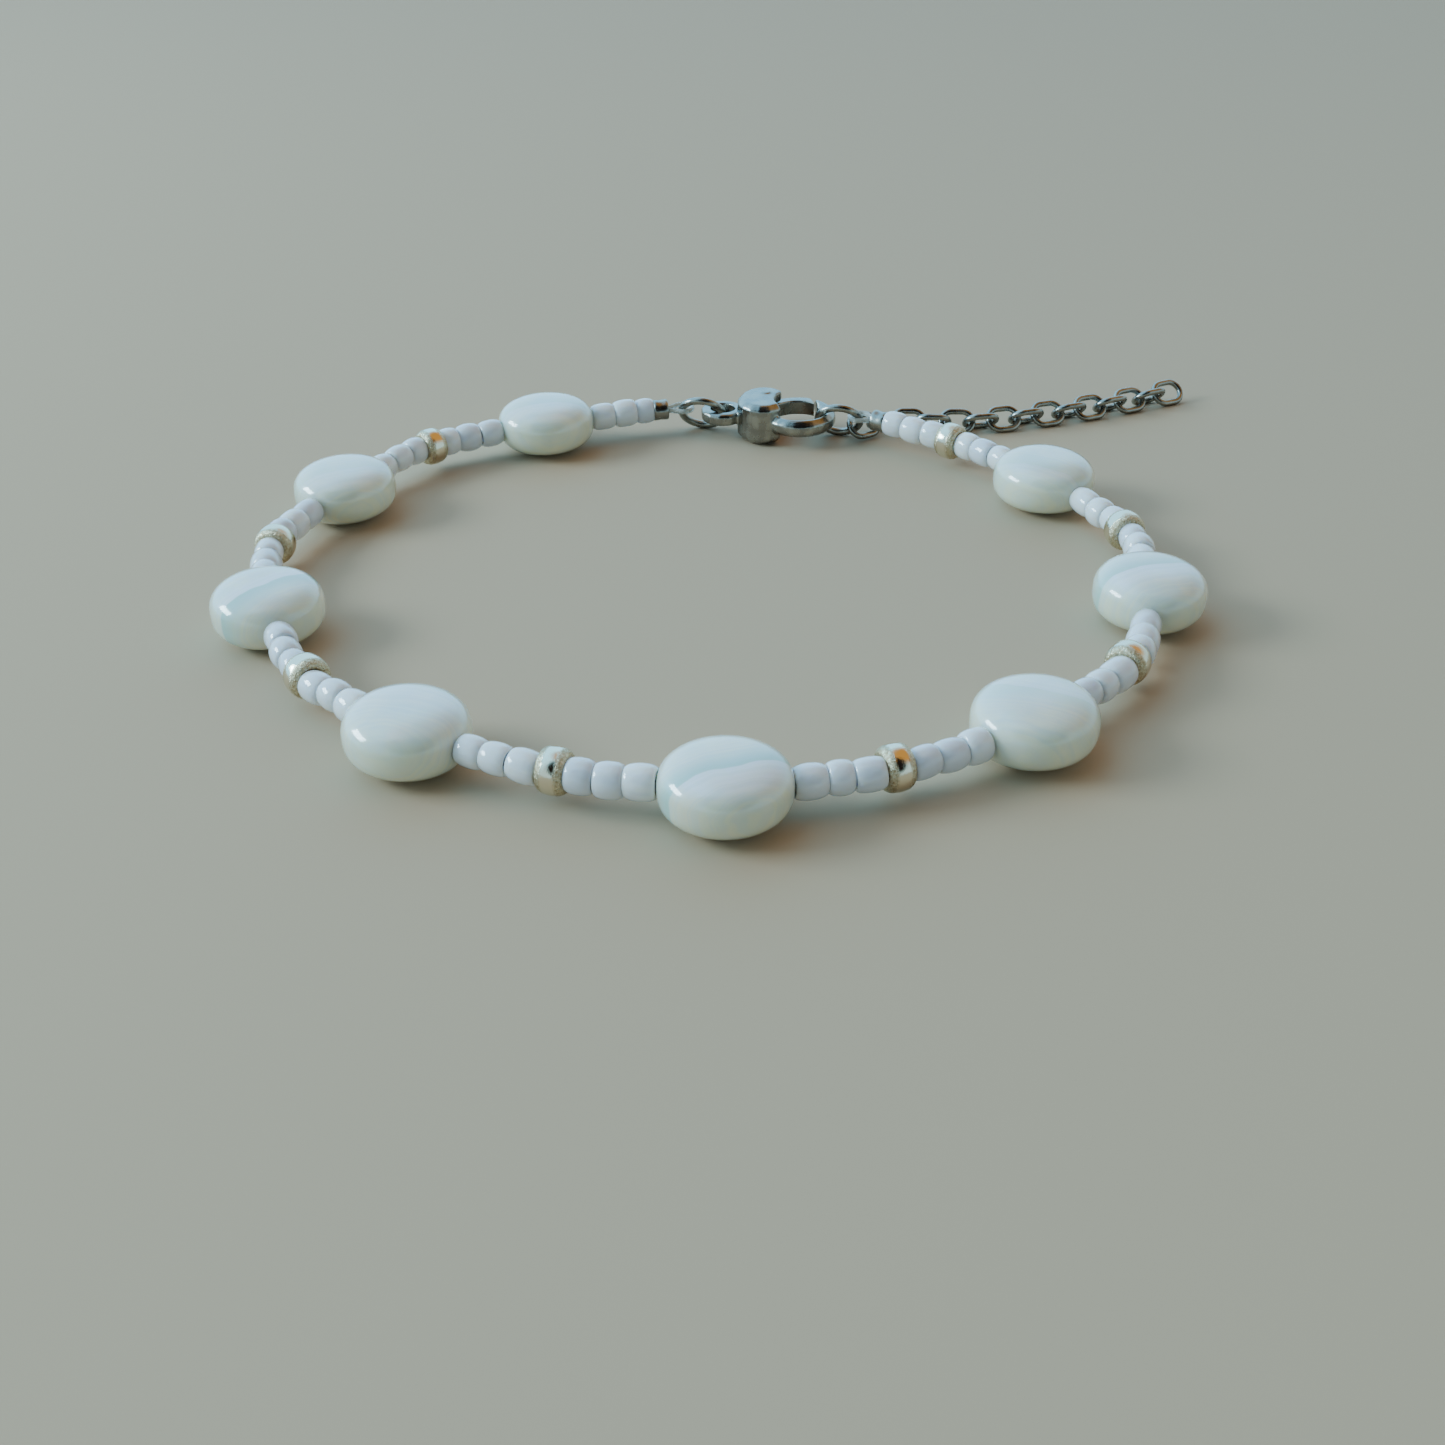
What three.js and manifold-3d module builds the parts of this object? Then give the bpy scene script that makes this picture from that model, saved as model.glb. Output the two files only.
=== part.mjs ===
// A beaded bracelet that lies closed on a table.
//
// Eight puffed mother-of-pearl beads and eight bright metal beads take turns along one thread, with a
// run of three white glass seed beads in every gap. At each end the thread makes a small loop, held by
// a crimp. A jump ring ties the left loop to the eye of a lobster clasp. The clasp is hooked into a
// second jump ring, which holds the right loop and a short extension chain that trails off sideways.
//
// Millimetres, +Z up. The origin is on the table, under the middle of all that lies there.

import * as THREE from "three";
import { mergeVertices } from "three/addons/utils/BufferGeometryUtils.js";
import Module from "manifold-3d";

// Mother-of-pearl beads: nearly round, puffed on both faces, drilled across.
const SHELL_LENGTH = 7.7;
const SHELL_WIDTH = 7.4;
const SHELL_THICKNESS = 4.0;
const SHELL_HOLE = 1.0;
const SHELL_SIDES = 16;
const SHELL_HOLE_SIDES = 8;
// Half of the bead's section, from the flat middle of a face to the rim: shares of the half width
// and of the half thickness.
const SHELL_SECTION = [
  { out: 0.34, up: 1 },
  { out: 0.72, up: 0.84 },
  { out: 0.94, up: 0.48 },
];
const SHELL_COUNT = 8;
const FRONT_SHELL = 5;

// Metal beads: short barrels with a wide hole. The taut thread carries them off the table, a little
// lower than it passes through the shell beads.
const METAL_DIAMETER = 2.8;
const METAL_LENGTH = 1.65;
const METAL_HOLE = 1.1;
const METAL_SIDES = 12;
const METAL_SAG = 0.1;
// Half of the barrel's outline, from its end face to its middle: shares of the half length and radius.
const METAL_OUTLINE = [
  { along: 1, out: 0.66 },
  { along: 0.72, out: 0.93 },
  { along: 0.3, out: 1 },
];

// Glass seed beads, which touch each other in runs.
const SEED_DIAMETER = 2.1;
const SEED_LENGTH = 1.575;
const SEED_HOLE = 0.9;
const SEED_SIDES = 10;
const SEEDS_IN_RUN = 3;
// One seed bead's outline between the grooves: shares of its length and radius.
const SEED_OUTLINE = [
  { along: 0, out: 0.74 },
  { along: 0.26, out: 1 },
  { along: 0.74, out: 1 },
];

// Thread, its end loops and the crimps that hold them.
const THREAD_DIAMETER = 0.4;
const THREAD_SIDES = 6;
const THREAD_STEPS = 90;
const LOOP_INNER = 1.3;
const LOOP_SEAT = 15;
const CRIMP_DIAMETER = 1.7;
const CRIMP_LENGTH = 1.2;
const CRIMP_HOLE = 1.0;
const CRIMP_EDGE = 0.25;
const CRIMP_SIDES = 12;

// Jump rings, which lean with their foot on the table, on the outer side.
const RING_DIAMETER = 4.0;
const RING_WIRE = 0.6;
const RING_LEAN = 55;
const RING_SIDES = 16;
const WIRE_SIDES = 6;

// Lobster clasp, lying flat. Plan places are from the middle of its eye, X towards its nose.
const EYE_DIAMETER = 3.6;
const EYE_HOLE = 2.0;
const EYE_THICKNESS = 1.0;
const EYE_EDGE = 0.2;
const CLAW_DIAMETER = 6.0;
const CLAW_PLACE = 6.2;
const CLAW_WALL = 1.0;
const CLAW_THICKNESS = 1.4;
const CLAW_EDGE = 0.4;
const CHEEK_LENGTH = 4.2;
const CHEEK_WIDTH = 5.0;
const CHEEK_PLACE = 3.3;
const CHEEK_THICKNESS = 0.85;
const CHEEK_EDGE = 0.4;
const CHEEK_FRONT = 4.6;
const SLOT_BACK = 1.2;
const SLOT_FLOOR = 1.25;
const LEVER_THICKNESS = 1.2;
const LEVER_WIDTH = 0.85;
const LEVER_REACH = 4.0;
const LEVER_SLACK = 0.2;
const PIVOT = { x: 3.4, y: 0.9 };
const BOSS_DIAMETER = 1.9;
const TAB_DIAMETER = 1.5;
const TAB_OUT = 2.1;
const PIN_DIAMETER = 0.8;
const PIN_PROUD = 0.1;
const PIN_SIDES = 10;
const ROD_SIDES = 16;
const CLAW_SIDES = 24;
const HOOK_SIDES = 32;
const CHEEK_SEGMENTS = 8;
const ARM_SEGMENTS = 10;

// Extension chain: oval links that lie on the table, each turned a quarter against the next.
const LINK_LENGTH = 3.1;
const LINK_WIDTH = 2.3;
const LINK_WIRE = 0.5;
const LINK_SIDES = 12;
const LINK_COUNT = 15;
const LINK_ROLL = 45;
const CHAIN_SEAT = -30;
const CHAIN_DROP_LINKS = 3;

// Clearances: between neighbours on the thread, and between wires that hold each other.
const BEAD_GAP = 0.16;
const WIRE_GAP = 0.12;

// The line of the closed bracelet on the table, seen from above: chosen points, anticlockwise from
// the middle of the front bead, as shares of the whole loop's length.
const ROUTE = [
  { x: 0.004, y: -0.154 },
  { x: 0.057, y: -0.14 },
  { x: 0.103, y: -0.117 },
  { x: 0.143, y: -0.074 },
  { x: 0.161, y: -0.029 },
  { x: 0.162, y: 0.031 },
  { x: 0.139, y: 0.078 },
  { x: 0.105, y: 0.12 },
  { x: 0.072, y: 0.143 },
  { x: 0.024, y: 0.158 },
  { x: -0.03, y: 0.156 },
  { x: -0.079, y: 0.141 },
  { x: -0.126, y: 0.116 },
  { x: -0.156, y: 0.068 },
  { x: -0.172, y: 0.019 },
  { x: -0.161, y: -0.042 },
  { x: -0.138, y: -0.083 },
  { x: -0.098, y: -0.122 },
  { x: -0.05, y: -0.141 },
];
const ROUTE_DIVISIONS = 2000;
const FIT_ROUNDS = 12;

// The line of the chain, from where it hangs on its ring, as shares of its length: X along the clasp,
// Y away from the beads.
const CHAIN_ROUTE = [
  { x: 0, y: 0 },
  { x: 0.06, y: 0.045 },
  { x: 0.16, y: 0.07 },
  { x: 0.31, y: 0.09 },
  { x: 0.6, y: 0.22 },
  { x: 0.91, y: 0.42 },
  { x: 1.1, y: 0.56 },
];

const wasm = await Module();
wasm.setup();

const radians = THREE.MathUtils.degToRad;
const Z_AXIS = new THREE.Vector3(0, 0, 1);

// Materials
function material(color, roughness, metalness) {
  return new THREE.MeshStandardMaterial({ color, roughness, metalness });
}
const PEARL = material(0xe6ece6, 0.18, 0);
const GLASS = material(0xe4e6f2, 0.15, 0);
const SILVER = material(0xd9d3c0, 0.18, 1);
const STEEL = material(0x8d8c88, 0.28, 1);
const NYLON = material(0xd8d8d4, 0.5, 0);

// Solids: a closed mesh as a solid for cutting and joining, and back.
function solidOf(geometry) {
  const bare = geometry.clone();
  bare.deleteAttribute("normal");
  bare.deleteAttribute("uv");
  const merged = mergeVertices(bare, 1e-4);
  return new wasm.Manifold(
    new wasm.Mesh({
      numProp: 3,
      vertProperties: new Float32Array(merged.attributes.position.array),
      triVerts: new Uint32Array(merged.index.array),
    }),
  );
}

function geometryOf(solid) {
  const mesh = solid.getMesh();
  const geometry = new THREE.BufferGeometry();
  geometry.setAttribute("position", new THREE.BufferAttribute(mesh.vertProperties, 3));
  geometry.setIndex(new THREE.BufferAttribute(mesh.triVerts, 1));
  const faceted = geometry.toNonIndexed();
  faceted.computeVertexNormals();
  return faceted;
}

// A closed outline of radius against distance, turned about the X axis.
function turned(outline, sides) {
  const points = outline.map(([radius, along]) => new THREE.Vector2(radius, along));
  points.push(points[0].clone());
  return new THREE.LatheGeometry(points, sides).rotateZ(-Math.PI / 2);
}

// A rod along Z, from one height to another.
function rod(radius, from, to, x, y, sides = ROD_SIDES) {
  return new THREE.CylinderGeometry(radius, radius, to - from, sides)
    .rotateX(Math.PI / 2)
    .translate(x, y, (from + to) / 2);
}

// A plan shape with chamfered edges, centred on the plane Z = 0.
function plate(shape, thickness, edge, curveSegments = 6) {
  return new THREE.ExtrudeGeometry(shape, {
    depth: thickness - 2 * edge,
    bevelEnabled: edge > 0,
    bevelThickness: edge,
    bevelSize: edge,
    bevelOffset: -edge,
    bevelSegments: 1,
    curveSegments,
  }).translate(0, 0, edge - thickness / 2);
}

// A ring of round wire in the plane Z = 0, drawn out along X by a straight stretch.
function wireRing(meanRadius, wireRadius, sides, straight = 0) {
  const geometry = new THREE.TorusGeometry(meanRadius, wireRadius, WIRE_SIDES, sides);
  const position = geometry.attributes.position;
  for (let i = 0; i < position.count; i += 1) {
    const x = position.getX(i);
    const side = Math.abs(x) < meanRadius * 1e-3 ? 0 : Math.sign(x);
    position.setX(i, x + (side * straight) / 2);
  }
  return geometry;
}

// Beads
function shellBead() {
  const [halfWidth, halfThickness] = [SHELL_WIDTH / 2, SHELL_THICKNESS / 2];
  const upper = SHELL_SECTION.map(({ out, up }) => [out * halfWidth, up * halfThickness]);
  const lower = upper.map(([out, up]) => [out, -up]).reverse();
  const outline = [[0, halfThickness], ...upper, [halfWidth, 0], ...lower, [0, -halfThickness]];
  const points = outline.map(([out, up]) => new THREE.Vector2(out, up)).reverse();
  const body = new THREE.LatheGeometry(points, SHELL_SIDES)
    .rotateX(Math.PI / 2)
    .scale(SHELL_LENGTH / SHELL_WIDTH, 1, 1);
  const drill = rod(SHELL_HOLE / 2, -SHELL_LENGTH, SHELL_LENGTH, 0, 0, SHELL_HOLE_SIDES).rotateY(Math.PI / 2);
  return geometryOf(solidOf(body).subtract(solidOf(drill)));
}

function metalBead() {
  const [radius, half] = [METAL_DIAMETER / 2, METAL_LENGTH / 2];
  const left = METAL_OUTLINE.map(({ along, out }) => [out * radius, -along * half]);
  const right = left.map(([out, along]) => [out, -along]).reverse();
  return turned([[METAL_HOLE / 2, -half], ...left, ...right, [METAL_HOLE / 2, half]], METAL_SIDES);
}

function seedRun() {
  const radius = SEED_DIAMETER / 2;
  const half = (SEEDS_IN_RUN * SEED_LENGTH) / 2;
  const outline = [[SEED_HOLE / 2, -half]];
  for (let seed = 0; seed < SEEDS_IN_RUN; seed += 1) {
    for (const { along, out } of SEED_OUTLINE) {
      outline.push([out * radius, (seed + along) * SEED_LENGTH - half]);
    }
  }
  outline.push([SEED_OUTLINE[0].out * radius, half], [SEED_HOLE / 2, half]);
  return turned(outline, SEED_SIDES);
}

function crimp() {
  const [radius, half] = [CRIMP_DIAMETER / 2, CRIMP_LENGTH / 2];
  return turned(
    [
      [CRIMP_HOLE / 2, -half],
      [radius - CRIMP_EDGE, -half],
      [radius, CRIMP_EDGE - half],
      [radius, half - CRIMP_EDGE],
      [radius - CRIMP_EDGE, half],
      [CRIMP_HOLE / 2, half],
    ],
    CRIMP_SIDES,
  );
}

// A small closed loop of thread, lying level.
function threadLoop(centre) {
  return wireRing(loopRadius, THREAD_DIAMETER / 2, RING_SIDES).translate(...centre.toArray());
}

function threadAlong(points, loops) {
  const section = new THREE.Shape().absarc(0, 0, THREAD_DIAMETER / 2, 0, 2 * Math.PI, false);
  const tube = new THREE.ExtrudeGeometry(section, {
    steps: THREAD_STEPS,
    curveSegments: THREAD_SIDES / 2,
    extrudePath: new THREE.CatmullRomCurve3(points, false, "catmullrom", 0),
  });
  return geometryOf(loops.reduce((solid, at) => solid.add(solidOf(threadLoop(at))), solidOf(tube)));
}

// Jump rings. An angle runs up round the ring from the end of it that is level with its middle.
const ringRadius = (RING_DIAMETER - RING_WIRE) / 2;
const ringHeight = ringRadius * Math.sin(radians(RING_LEAN)) + RING_WIRE / 2;

function ringPoint(angle) {
  const along = Math.cos(radians(angle)) * ringRadius;
  const up = Math.sin(radians(angle)) * ringRadius;
  const lean = radians(RING_LEAN);
  return new THREE.Vector3(along, -up * Math.cos(lean), up * Math.sin(lean));
}

function jumpRing() {
  return wireRing(ringRadius, RING_WIRE / 2, RING_SIDES).rotateX(Math.PI - radians(RING_LEAN));
}

function chainLink() {
  const meanRadius = (LINK_WIDTH - LINK_WIRE) / 2;
  return wireRing(meanRadius, LINK_WIRE / 2, LINK_SIDES, LINK_LENGTH - LINK_WIDTH);
}

// Clasp
const slotHeight = LEVER_THICKNESS + 2 * LEVER_SLACK;
const claspThickness = slotHeight + 2 * CHEEK_THICKNESS;
const claspHeight = claspThickness / 2 + PIN_PROUD;
const hookReach = LEVER_REACH + LEVER_SLACK;
const clawHole = CLAW_DIAMETER / 2 - CLAW_WALL;

function disc(radius, x, y) {
  return new THREE.Shape().absarc(x, y, radius, 0, 2 * Math.PI, false);
}

// A block between two corners.
function block(low, high) {
  const size = high.map((value, i) => value - low[i]);
  const middle = high.map((value, i) => (value + low[i]) / 2);
  return new THREE.BoxGeometry(...size).translate(...middle);
}

// The claw's round, with all its edges chamfered.
function clawHoop() {
  const [inner, outer, half] = [clawHole, CLAW_DIAMETER / 2, CLAW_THICKNESS / 2];
  const outline = [
    [inner, CLAW_EDGE - half],
    [inner + CLAW_EDGE, -half],
    [outer - CLAW_EDGE, -half],
    [outer, CLAW_EDGE - half],
    [outer, half - CLAW_EDGE],
    [outer - CLAW_EDGE, half],
    [inner + CLAW_EDGE, half],
    [inner, half - CLAW_EDGE],
  ];
  return turned(outline, CLAW_SIDES).rotateY(Math.PI / 2).translate(CLAW_PLACE, 0, 0);
}

function claspBody() {
  const full = claspThickness;
  const eye = plate(disc(EYE_DIAMETER / 2, 0, 0), EYE_THICKNESS, EYE_EDGE);
  const claw = clawHoop();
  const cheekShape = new THREE.Shape()
    .absellipse(CHEEK_PLACE, 0, CHEEK_LENGTH / 2, CHEEK_WIDTH / 2, 0, 2 * Math.PI, false, 0);
  const cheeks = plate(cheekShape, full, CHEEK_EDGE, CHEEK_SEGMENTS);
  const slot = block(
    [PIVOT.x - SLOT_BACK, PIVOT.y - SLOT_FLOOR, -slotHeight / 2],
    [CHEEK_FRONT + CLAW_WALL, CLAW_DIAMETER, slotHeight / 2],
  );
  const front = block([CHEEK_FRONT, 0, -full], [CLAW_PLACE + CLAW_DIAMETER, CLAW_DIAMETER, full]);
  const sweep = rod(hookReach, -full, full, PIVOT.x, PIVOT.y, HOOK_SIDES);
  const mouth = solidOf(front).intersect(solidOf(sweep));
  const pinEnd = full / 2 + PIN_PROUD;
  const pin = rod(PIN_DIAMETER / 2, -pinEnd, pinEnd, PIVOT.x, PIVOT.y, PIN_SIDES);
  return geometryOf(
    solidOf(eye)
      .add(solidOf(claw))
      .add(solidOf(cheeks))
      .subtract(solidOf(rod(EYE_HOLE / 2, -full, full, 0, 0)))
      .subtract(solidOf(rod(clawHole, -full, full, CLAW_PLACE, 0, CLAW_SIDES)))
      .subtract(solidOf(slot))
      .subtract(mouth)
      .add(solidOf(pin)),
  );
}

// The lever's arm follows the claw's ring from the pivot to the hook's tip.
function claspLever() {
  const full = LEVER_THICKNESS;
  const half = full / 2;
  const inner = clawHole + LEVER_SLACK / 2;
  const start = { x: PIVOT.x - CLAW_PLACE, y: PIVOT.y };
  const startAngle = Math.atan2(start.y, start.x);
  const arm = new THREE.Shape()
    .absarc(CLAW_PLACE, 0, inner + LEVER_WIDTH, 0, startAngle, false)
    .absarc(CLAW_PLACE, 0, inner, startAngle, 0, true);
  const reach = rod(LEVER_REACH, -half, half, PIVOT.x, PIVOT.y, HOOK_SIDES);
  const pinHole = rod(PIN_DIAMETER / 2 + LEVER_SLACK, -full, full, PIVOT.x, PIVOT.y, PIN_SIDES);
  const tab = block([-TAB_DIAMETER / 2, 0, -half], [TAB_DIAMETER / 2, TAB_OUT, half]);
  tab.translate(PIVOT.x, PIVOT.y, 0);
  return geometryOf(
    solidOf(plate(arm, full, 0, ARM_SEGMENTS))
      .intersect(solidOf(reach))
      .add(solidOf(rod(BOSS_DIAMETER / 2, -half, half, PIVOT.x, PIVOT.y)))
      .add(solidOf(tab))
      .add(solidOf(rod(TAB_DIAMETER / 2, -half, half, PIVOT.x, PIVOT.y + TAB_OUT)))
      .subtract(solidOf(pinHole)),
  );
}

// What is strung, in order from the clasp's eye end round the front to its nose end.
function strungPieces() {
  const pieces = [];
  const counts = {};
  const add = (kind, length, height) => {
    counts[kind] = (counts[kind] ?? 0) + 1;
    pieces.push({ kind, name: `${kind}_${counts[kind]}`, length, height });
  };
  const seeds = () => add("seed_run", SEEDS_IN_RUN * SEED_LENGTH, null);
  const metal = () => add("metal_bead", METAL_LENGTH, SHELL_THICKNESS / 2 - METAL_SAG);
  add("crimp", CRIMP_LENGTH, loopHeight);
  for (let shell = 0; shell < SHELL_COUNT; shell += 1) {
    if (shell > 0) {
      seeds();
      metal();
    }
    seeds();
    add("shell_bead", SHELL_LENGTH, SHELL_THICKNESS / 2);
  }
  seeds();
  metal();
  seeds();
  add("crimp", CRIMP_LENGTH, loopHeight);
  return pieces;
}

// The closure, along the clasp: how far apart the two thread loops are held.
const loopPoint = ringPoint(LOOP_SEAT);
const loopHeight = ringHeight + loopPoint.z;
const loopRadius = (LOOP_INNER + THREAD_DIAMETER) / 2;
const crimpToLoop = loopRadius + THREAD_DIAMETER / 2 + WIRE_GAP;
const seatRise = (claspHeight - ringHeight) / (ringRadius * Math.sin(radians(RING_LEAN)));
const claspPoint = ringPoint(THREE.MathUtils.radToDeg(Math.asin(seatRise)));
const eyeToWire = CLAW_PLACE + clawHole - WIRE_GAP - RING_WIRE / 2;
const closureLength = 2 * (loopPoint.x + claspPoint.x) + eyeToWire;

// The string: where each piece starts and ends along it, from the middle of the first loop.
const strung = strungPieces();
let reached = crimpToLoop;
strung.forEach((piece, i) => {
  piece.start = { at: reached, height: piece.height ?? strung[i - 1].height };
  piece.end = { at: reached + piece.length, height: piece.height ?? strung[i + 1].height };
  reached = piece.end.at + BEAD_GAP;
});
const stringLength = reached - BEAD_GAP + crimpToLoop;
const front = strung.find(({ name }) => name === `shell_bead_${FRONT_SHELL}`);
const frontAt = (front.start.at + front.end.at) / 2;

// The line on the table for a loop of a given length, and a point on it.
function routeOf(length) {
  const shares = ROUTE.map(({ x, y }) => new THREE.Vector3(x, y, 0));
  const scale = length / new THREE.CatmullRomCurve3(shares, true).getLength();
  const route = new THREE.CatmullRomCurve3(shares.map((point) => point.multiplyScalar(scale)), true);
  route.arcLengthDivisions = ROUTE_DIVISIONS;
  return ({ at, height }) => {
    const share = (at - frontAt) / length;
    return route.getPointAt(share - Math.floor(share)).setZ(height);
  };
}

// The free stretch of the line is the clasp's, so the line is lengthened until the clasp just fits it.
const loopStart = { at: 0, height: loopHeight };
const loopEnd = { at: stringLength, height: loopHeight };
let loopLength = stringLength + closureLength;
for (let round = 0; round < FIT_ROUNDS; round += 1) {
  const place = routeOf(loopLength);
  loopLength += closureLength - place(loopStart).distanceTo(place(loopEnd));
}
const place = routeOf(loopLength);

const bracelet = new THREE.Group();
bracelet.name = "bracelet";

function addPiece(parent, name, geometry, look) {
  const mesh = new THREE.Mesh(geometry, look);
  mesh.name = name;
  parent.add(mesh);
  return mesh;
}

// Turns a piece so that its X runs along a direction and its Z is up, rolled about that direction.
function point(mesh, centre, direction, roll = 0) {
  const along = direction.clone().normalize();
  const side = new THREE.Vector3().crossVectors(Z_AXIS, along).normalize();
  const up = new THREE.Vector3().crossVectors(along, side);
  mesh.position.copy(centre);
  mesh.quaternion.setFromRotationMatrix(new THREE.Matrix4().makeBasis(along, side, up));
  mesh.rotateX(radians(roll));
}

// Beads, seed runs and crimps, each along its own chord of the line.
const kinds = {
  crimp: { geometry: crimp(), look: STEEL },
  seed_run: { geometry: seedRun(), look: GLASS },
  metal_bead: { geometry: metalBead(), look: SILVER },
  shell_bead: { geometry: shellBead(), look: PEARL },
};
const threadPoints = [];
for (const { kind, name, start, end } of strung) {
  const [from, to] = [place(start), place(end)];
  const mesh = addPiece(bracelet, name, kinds[kind].geometry, kinds[kind].look);
  point(mesh, from.clone().lerp(to, 0.5), to.clone().sub(from));
  threadPoints.push(from, to);
}

// Thread, from loop to loop.
function loopEntry(loop, next) {
  const inward = next.clone().sub(loop).normalize();
  return loop.clone().addScaledVector(inward, loopRadius);
}
const loops = [place(loopStart), place(loopEnd)];
const threadEnds = [loopEntry(loops[0], threadPoints[0]), loopEntry(loops[1], threadPoints.at(-1))];
addPiece(bracelet, "thread", threadAlong([threadEnds[0], ...threadPoints, threadEnds[1]], loops), NYLON);

// Closure: its own X runs from the first loop to the last, its Y away from the beads.
const closure = new THREE.Group();
bracelet.add(closure);
point(closure, loops[0].clone().setZ(0), loops[1].clone().sub(loops[0]));
const ringPlaces = {
  jump_ring_left: loopPoint.x,
  jump_ring_right: closureLength - loopPoint.x,
};
for (const [name, along] of Object.entries(ringPlaces)) {
  addPiece(closure, name, jumpRing(), STEEL).position.set(along, -loopPoint.y, ringHeight);
}
const clasp = new THREE.Group();
clasp.position.set(ringPlaces.jump_ring_left + claspPoint.x, claspPoint.y - loopPoint.y, claspHeight);
closure.add(clasp);
addPiece(clasp, "clasp_body", claspBody(), STEEL);
addPiece(clasp, "clasp_lever", claspLever(), STEEL);

// Extension chain, from its seat on the right ring.
const linkInner = LINK_LENGTH / 2 - LINK_WIRE;
const linkPitch = 2 * linkInner - WIRE_GAP;
const firstLink = linkInner - RING_WIRE / 2 - WIRE_GAP;
const chainLength = LINK_COUNT * linkPitch;
const chainRest = ((LINK_WIDTH - LINK_WIRE) / 2) * Math.sin(radians(LINK_ROLL)) + LINK_WIRE / 2;
const chainSeat = ringPoint(CHAIN_SEAT)
  .add(new THREE.Vector3(ringPlaces.jump_ring_right, -loopPoint.y, ringHeight));
const chainLine = new THREE.CatmullRomCurve3(
  CHAIN_ROUTE.map(({ x, y }) => new THREE.Vector3(x, y, 0).multiplyScalar(chainLength)),
);
const chainLineLength = chainLine.getLength();

function chainPoint(at) {
  const drop = Math.min(at / (CHAIN_DROP_LINKS * linkPitch), 1);
  const height = THREE.MathUtils.lerp(chainSeat.z, chainRest, drop);
  return chainLine.getPointAt(Math.max(at, 0) / chainLineLength)
    .add(chainSeat)
    .setZ(height);
}

for (let link = 0; link < LINK_COUNT; link += 1) {
  const at = firstLink + link * linkPitch;
  const mesh = addPiece(closure, `chain_link_${link + 1}`, chainLink(), STEEL);
  const direction = chainPoint(at + firstLink).sub(chainPoint(at - firstLink));
  point(mesh, chainPoint(at), direction, link % 2 === 0 ? LINK_ROLL : -LINK_ROLL);
}

// The origin goes to the table, under the middle of all that lies there.
bracelet.updateMatrixWorld(true);
const bounds = new THREE.Box3().setFromObject(bracelet, true);
const middle = bounds.getCenter(new THREE.Vector3());
bracelet.position.set(-middle.x, -middle.y, -bounds.min.z);

export default bracelet;
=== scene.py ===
# %% [markdown]
# # A beaded shell bracelet
#
# The bracelet lies closed on a table. Its solids are made already: beads, runs of seed beads, a
# clasp and a chain, each where it belongs. This lesson dresses them. Every piece is a surface worked
# out with numpy and laid over its solid, and every finish starts from the real material.
#
# The first cell loads the solids and notes the box that they fill.

# %% Load the solids
import math

import bmesh
import bpy
import mathutils
import numpy as np
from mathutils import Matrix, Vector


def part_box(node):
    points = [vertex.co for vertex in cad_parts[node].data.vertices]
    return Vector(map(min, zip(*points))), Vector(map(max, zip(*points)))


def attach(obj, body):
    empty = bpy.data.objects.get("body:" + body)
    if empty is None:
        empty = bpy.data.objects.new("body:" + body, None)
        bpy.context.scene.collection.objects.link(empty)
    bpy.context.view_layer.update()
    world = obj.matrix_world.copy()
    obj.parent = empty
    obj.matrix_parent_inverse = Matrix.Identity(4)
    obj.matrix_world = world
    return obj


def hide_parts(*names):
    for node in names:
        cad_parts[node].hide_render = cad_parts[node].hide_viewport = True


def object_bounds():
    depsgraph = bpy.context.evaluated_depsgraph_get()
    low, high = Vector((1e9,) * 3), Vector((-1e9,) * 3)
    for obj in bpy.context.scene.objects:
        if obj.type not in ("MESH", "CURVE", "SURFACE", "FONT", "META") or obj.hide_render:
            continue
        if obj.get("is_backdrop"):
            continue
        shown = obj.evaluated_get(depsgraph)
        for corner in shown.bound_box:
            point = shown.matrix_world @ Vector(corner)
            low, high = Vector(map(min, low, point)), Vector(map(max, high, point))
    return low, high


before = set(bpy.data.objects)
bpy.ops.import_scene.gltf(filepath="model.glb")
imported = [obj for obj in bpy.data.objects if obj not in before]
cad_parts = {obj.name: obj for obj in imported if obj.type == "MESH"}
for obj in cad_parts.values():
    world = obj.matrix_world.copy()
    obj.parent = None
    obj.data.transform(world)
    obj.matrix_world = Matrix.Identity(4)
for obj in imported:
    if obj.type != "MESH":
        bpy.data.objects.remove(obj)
solid_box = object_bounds()
MM = 0.001
# Each bead's own place is moved by up to this many millimetres, so that no two share a pattern.
FAR = 50.0
rng = np.random.default_rng(11)

# %% [markdown]
# ## Camera
#
# The photograph was taken close up, from low in front of the bracelet. The camera's place, pitch and
# angle of view were worked out from the spacing of the eight shell beads, so it is set out here from
# the front bead, in millimetres and degrees. The camera comes first because every later choice is
# judged through it.

# %% Camera
FRONT_BEAD = "shell_bead_5"
CAMERA_BACK = 76.4
CAMERA_UP = 51.75
CAMERA_PITCH = 31.96
CAMERA_ROLL = 0.19
SENSOR = 36.0
FOCAL_PIXELS = 1700.0
FRAME_PIXELS = 1445.0
NEAREST_SEEN = 5.0
FARTHEST_SEEN = 10000.0


def box_middle(node):
    """The middle of a solid's box: half the sum of its lowest and highest corners."""
    low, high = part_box(node)
    return np.array((low + high) / 2)


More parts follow.
